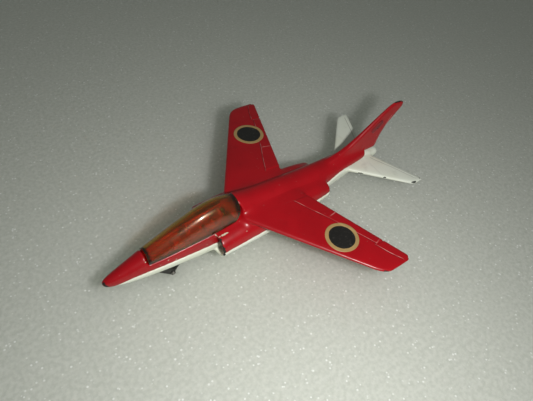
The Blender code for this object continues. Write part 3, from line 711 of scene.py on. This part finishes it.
def enamel(name, tone, depth, worn_and_lit, shine):
    """Sprayed enamel over zinc: orange peel, dust, rubbed edges and chips, with painted shade in the
    hinge grooves and along the intake lips and a partly painted highlight on the hinge edges.
    """
    s = Shading(name)
    colour = s.blend(s.band(s.noise(11.0), 0.35, 0.65), tone, depth)
    seam = s.painted("seam")
    # painted shade: a strip just in front of each hinge line is darkened as the shadow of its riser, and
    # the same strip is bumped in as a groove
    shaded_groove = s.calc("MULTIPLY", s.band(seam, -0.24, -0.12), s.band(seam, 0.04, -0.05))
    colour = s.blend(s.calc("MULTIPLY", shaded_groove, 0.65), colour, tuple(c * 0.3 for c in depth))
    # partly painted highlight: a pale broken strip just behind each hinge line is rubbed paint and also
    # the light caught by the raised edge
    lip_wear_and_highlight = s.calc("MULTIPLY", s.band(seam, -0.03, 0.03), s.band(seam, 0.16, 0.08))
    lip_wear_and_highlight = s.calc("MULTIPLY", lip_wear_and_highlight, s.band(s.noise(3.0, 3.0), 0.4, 0.62, 0.06, 0.5))
    colour = s.blend(lip_wear_and_highlight, colour, worn_and_lit)
    grime = s.calc("MULTIPLY", s.band(s.noise(3.2, 5.0), 0.55, 0.8), 0.3)
    colour = s.blend(grime, colour, tuple(c * 0.5 for c in depth))
    dust = s.calc("MULTIPLY", s.band(s.cells(1.15), 0.085, 0.03), s.band(s.noise(2.6), 0.52, 0.62))
    colour = s.blend(s.calc("MULTIPLY", dust, 0.55), colour, (0.66, 0.52, 0.47))
    edge = s.painted("edge")
    rubbed = s.broken(edge, 0.9, 1.1, 1.24)
    colour = s.blend(s.calc("MULTIPLY", rubbed, 0.5), colour, BARE_PALE)
    pale = s.chipped("chip_pale", 0.7, 0.9)
    # the dark strokes include painted shadow along the intake lips
    dark_chips_and_shade = s.chipped("chip_dark_and_shade", 0.5, 0.8)
    colour = s.blend(pale, colour, BARE_PALE)
    colour = s.blend(dark_chips_and_shade, colour, BARE_DARK_AND_SHADE)
    rivet = s.painted("bare_rivet")
    colour = s.blend(rivet, colour, s.blend(s.noise(0.5, 4.0), (0.30, 0.30, 0.29), (0.52, 0.52, 0.50)))
    bare_and_shade = s.calc("MAXIMUM", s.calc("MAXIMUM", pale, dark_chips_and_shade), rivet)
    gloss = s.calc("ADD", s.calc("MULTIPLY", s.noise(4.0, 4.0), 0.16), shine - 0.08)
    gloss = s.calc("ADD", gloss, s.calc("MULTIPLY", bare_and_shade, 0.22))
    metal = s.calc("MULTIPLY", rivet, 0.85)
    peel = s.calc("MULTIPLY", s.noise(0.8, 1.0), 0.35)
    casting = s.noise(3.4, 1.0)
    relief = s.bump(casting, 0.03)
    relief = s.bump(peel, 0.02, relief)
    relief = s.bump(s.calc("SUBTRACT", 1.0, shaded_groove), 0.05, relief)
    relief = s.bump(s.calc("SUBTRACT", 1.0, bare_and_shade), 0.035, relief)
    s.shader.inputs["Specular IOR Level"].default_value = 0.35
    s.shader.inputs["Coat Weight"].default_value = 0.14
    s.shader.inputs["Coat Roughness"].default_value = 0.18
    return s.finish(Base_Color=colour, Roughness=gloss, Metallic=metal, Normal=relief)


def amber_plastic():
    """Clear amber styrene, with painted shade that darkens its ends and its rim, where it is looked at
    edge-on.
    """
    s = Shading("amber_plastic")
    edge_on_shade = s.painted("edge_on_shade")
    # painted shade: the ends and the rim are darkened
    colour = s.blend(edge_on_shade, s.blend(s.noise(6.0), AMBER, tuple(c * 0.94 for c in AMBER)), AMBER_EDGE_ON_SHADE)
    scratches = s.band(s.noise(0.9, 5.0), 0.5, 0.75, 0.02, 0.1)
    s.shader.inputs["Coat Weight"].default_value = 0.55
    s.shader.inputs["Coat Roughness"].default_value = 0.24
    relief = s.bump(s.noise(5.0, 1.0), 0.03)
    s.shader.inputs["Transmission Weight"].default_value = 0.975
    s.shader.inputs["IOR"].default_value = 1.5
    s.finish(Base_Color=colour, Roughness=scratches, Normal=relief)
    through = s.nodes.new("ShaderNodeBsdfTransparent")
    s.feed(through.inputs["Color"], colour)
    rays = s.nodes.new("ShaderNodeLightPath")
    mix = s.nodes.new("ShaderNodeMixShader")
    s.links.new(rays.outputs["Is Shadow Ray"], mix.inputs[0])
    s.links.new(s.shader.outputs[0], mix.inputs[1])
    s.links.new(through.outputs[0], mix.inputs[2])
    s.links.new(mix.outputs[0], s.nodes["Material Output"].inputs["Surface"])
    return s.material


def black_plastic(name, shine):
    """Moulded black plastic with scuffs and fine grain."""
    s = Shading(name)
    scuff = s.calc("MULTIPLY", s.band(s.noise(0.9, 5.0), 0.52, 0.7), 0.35)
    colour = s.blend(scuff, BLACK_PLASTIC, (0.10, 0.10, 0.085))
    gloss = s.band(s.noise(1.6, 4.0), 0.3, 0.7, shine, shine + 0.2)
    return s.finish(Base_Color=colour, Roughness=gloss, Normal=s.bump(s.noise(0.25, 3.0), 0.012))


def axle_steel():
    """Drawn steel pin with spots of tarnish."""
    s = Shading("axle_steel")
    tarnish = s.band(s.noise(0.5, 4.0), 0.4, 0.65)
    colour = s.blend(tarnish, (0.36, 0.35, 0.33), (0.12, 0.10, 0.085))
    gloss = s.band(s.noise(0.8, 3.0), 0.3, 0.7, 0.3, 0.55)
    s.shader.inputs["Metallic"].default_value = 1.0
    return s.finish(Base_Color=colour, Roughness=gloss, Normal=s.bump(s.noise(0.2, 2.0), 0.01))


def roundel_print():
    """Printed roundel: black disc in a cream ring, with worn ink."""
    s = Shading("roundel_print")
    reach = s.painted("reach")
    wander = s.calc("MULTIPLY", s.calc("SUBTRACT", s.noise(0.8, 2.0), 0.5), 0.035)
    reach = s.calc("ADD", reach, wander)
    ring = s.band(reach, 0.775, 0.795)
    cream = s.blend(s.noise(1.2, 4.0), CREAM, tuple(c * 0.72 for c in CREAM))
    ink = s.blend(s.band(s.noise(0.7, 5.0), 0.55, 0.8), INK, (0.05, 0.045, 0.04))
    colour = s.blend(ring, ink, cream)
    flaked = s.broken(s.band(reach, 0.9, 1.02), 0.6, 1.1, 1.22)
    colour = s.blend(flaked, colour, RED)
    gloss = s.band(s.noise(1.5, 3.0), 0.3, 0.7, 0.3, 0.46)
    return s.finish(Base_Color=colour, Roughness=gloss, Normal=s.bump(s.noise(0.5, 3.0), 0.01))


def fin_mark_print():
    """Faded dark bar that is nearly worn off the red."""
    s = Shading("fin_mark_print")
    left = s.band(s.noise(2.2, 1.0), 0.3, 0.7, 0.35, 0.75)
    colour = s.blend(left, RED_DEEP, (0.075, 0.006, 0.012))
    return s.finish(Base_Color=colour, Roughness=s.band(s.noise(2.0), 0.3, 0.7, 0.26, 0.4))


# ---------------------------------------------------------------- the toy

def build_toy():
    """Make every piece, give it its material and hand it to its body."""
    red = enamel("red_enamel", RED, RED_DEEP, RED_WORN_AND_LIT, 0.34)
    white = enamel("white_enamel", WHITE, WHITE_YELLOWED, WHITE_WORN_AND_LIT, 0.38)
    upper = build_upper_casting()
    tree = BVHTree.FromPolygons([v.co for v in upper.vertices],
                                [tuple(p.vertices) for p in upper.polygons])
    print_look, fin_look = roundel_print(), fin_mark_print()
    for side, word in ((1, "left"), (-1, "right")):
        node = "wing_label_" + word
        roundel = roundel_mesh(tree, "roundel_" + word, ROUNDEL_AT[word], side)
        place_piece("roundel_" + word, roundel, "airframe", print_look, node)
        node = "fin_label_" + word
        mark = fin_mark_mesh(tree, "fin_mark_" + word, node, side)
        place_piece("fin_mark_" + word, mark, "airframe", fin_look, node)
    place_piece("upper_enamelled", upper, "airframe", red, "upper_casting")
    place_piece("lower_enamelled", build_lower_casting(), "airframe", white,
                "lower_casting")
    place_piece("canopy_clear", build_canopy(), "airframe", amber_plastic(), "canopy")
    leg_look = black_plastic("black_plastic", 0.38)
    wheel_look = black_plastic("wheel_plastic", 0.45)
    steel = axle_steel()
    for node in ("nose_leg", "main_leg_left", "main_leg_right"):
        place_piece(node + "_moulded", leg_mesh(node), "airframe", leg_look, node)
    for node in ("nose_axle", "main_axle_left", "main_axle_right"):
        place_piece(node + "_pin", axle_mesh(node), "airframe", steel, node)
    for node, size in WHEELS.items():
        place_piece(node + "_moulded", wheel_mesh(node, size), node, wheel_look, node)


# ---------------------------------------------------------------- stage

def floor():
    """Plain pale sheet with a fine foam grain."""
    mesh = bpy.data.meshes.new("floor")
    reach = 900 * MM
    mesh.from_pydata([(-reach, -reach, 0), (reach, -reach, 0), (reach, reach, 0), (-reach, reach, 0)],
                     [], [(0, 1, 2, 3)])
    sheet = bpy.data.objects.new("floor", mesh)
    bpy.context.scene.collection.objects.link(sheet)
    s = Shading("pale_foam")
    grain = s.noise(1.1, 4.0)
    colour = s.blend(s.band(grain, 0.3, 0.7), (0.60, 0.625, 0.565), (0.69, 0.71, 0.65))
    glints = s.calc("MULTIPLY", s.band(s.cells(1.4), 0.26, 0.14), s.band(s.noise(3.6), 0.46, 0.6))
    glints = s.calc("MULTIPLY", glints, 0.7)
    colour = s.blend(glints, colour, (0.98, 1.0, 0.97))
    within = s.calc("MULTIPLY", s.calc("SUBTRACT", 1.0, glints), 0.95)
    s.shader.inputs["Subsurface Radius"].default_value = (1.0, 1.0, 1.0)
    s.shader.inputs["Subsurface Scale"].default_value = 36 * MM
    beads = s.calc("ADD", s.noise(0.8, 3.0), s.noise(4.2, 1.0))
    mesh.materials.append(s.finish(Base_Color=colour, Roughness=s.band(grain, 0.3, 0.7, 0.5, 0.8),
                                   Subsurface_Weight=within, Normal=s.bump(beads, 0.12)))


def area_light(name, place, aim, size, watts, colour):
    light = bpy.data.lights.new(name, "AREA")
    light.shape = "DISK"
    light.size = size * MM
    light.energy = watts
    light.color = colour
    obj = bpy.data.objects.new(name, light)
    bpy.context.scene.collection.objects.link(obj)
    obj.location = Vector(place) * MM
    obj.rotation_euler = (Vector(aim) - Vector(place)).to_track_quat("-Z", "Y").to_euler()


def lights():
    """One small lamp beside the camera, in a dim room."""
    area_light("key", (35, 87, 110), (0, 0, 8), 9, 0.154, (1.0, 0.995, 0.97))
    world = bpy.data.worlds.new("soft_room")
    bpy.context.scene.world = world
    world.use_nodes = True
    background = world.node_tree.nodes["Background"]
    background.inputs["Color"].default_value = (0.94, 1.0, 0.93, 1)
    background.inputs["Strength"].default_value = 0.13
    bpy.context.scene.view_settings.view_transform = "Standard"


def camera():
    """Viewpoint above the port side of the nose."""
    data = bpy.data.cameras.new("camera")
    data.sensor_width = 36
    data.lens = CAMERA_LENS
    data.clip_start = 1 * MM
    obj = bpy.data.objects.new("camera", data)
    bpy.context.scene.collection.objects.link(obj)
    aim = (Vector(CAMERA_AIM) - Vector(CAMERA_AT)).to_track_quat("-Z", "Y").to_matrix()
    turned = aim @ Matrix.Rotation(math.radians(CAMERA_ROLL_DEG), 3, "Z")
    obj.matrix_world = Matrix.Translation(Vector(CAMERA_AT) * MM) @ turned.to_4x4()
    bpy.context.scene.camera = obj


build_toy()
floor()
lights()
camera()
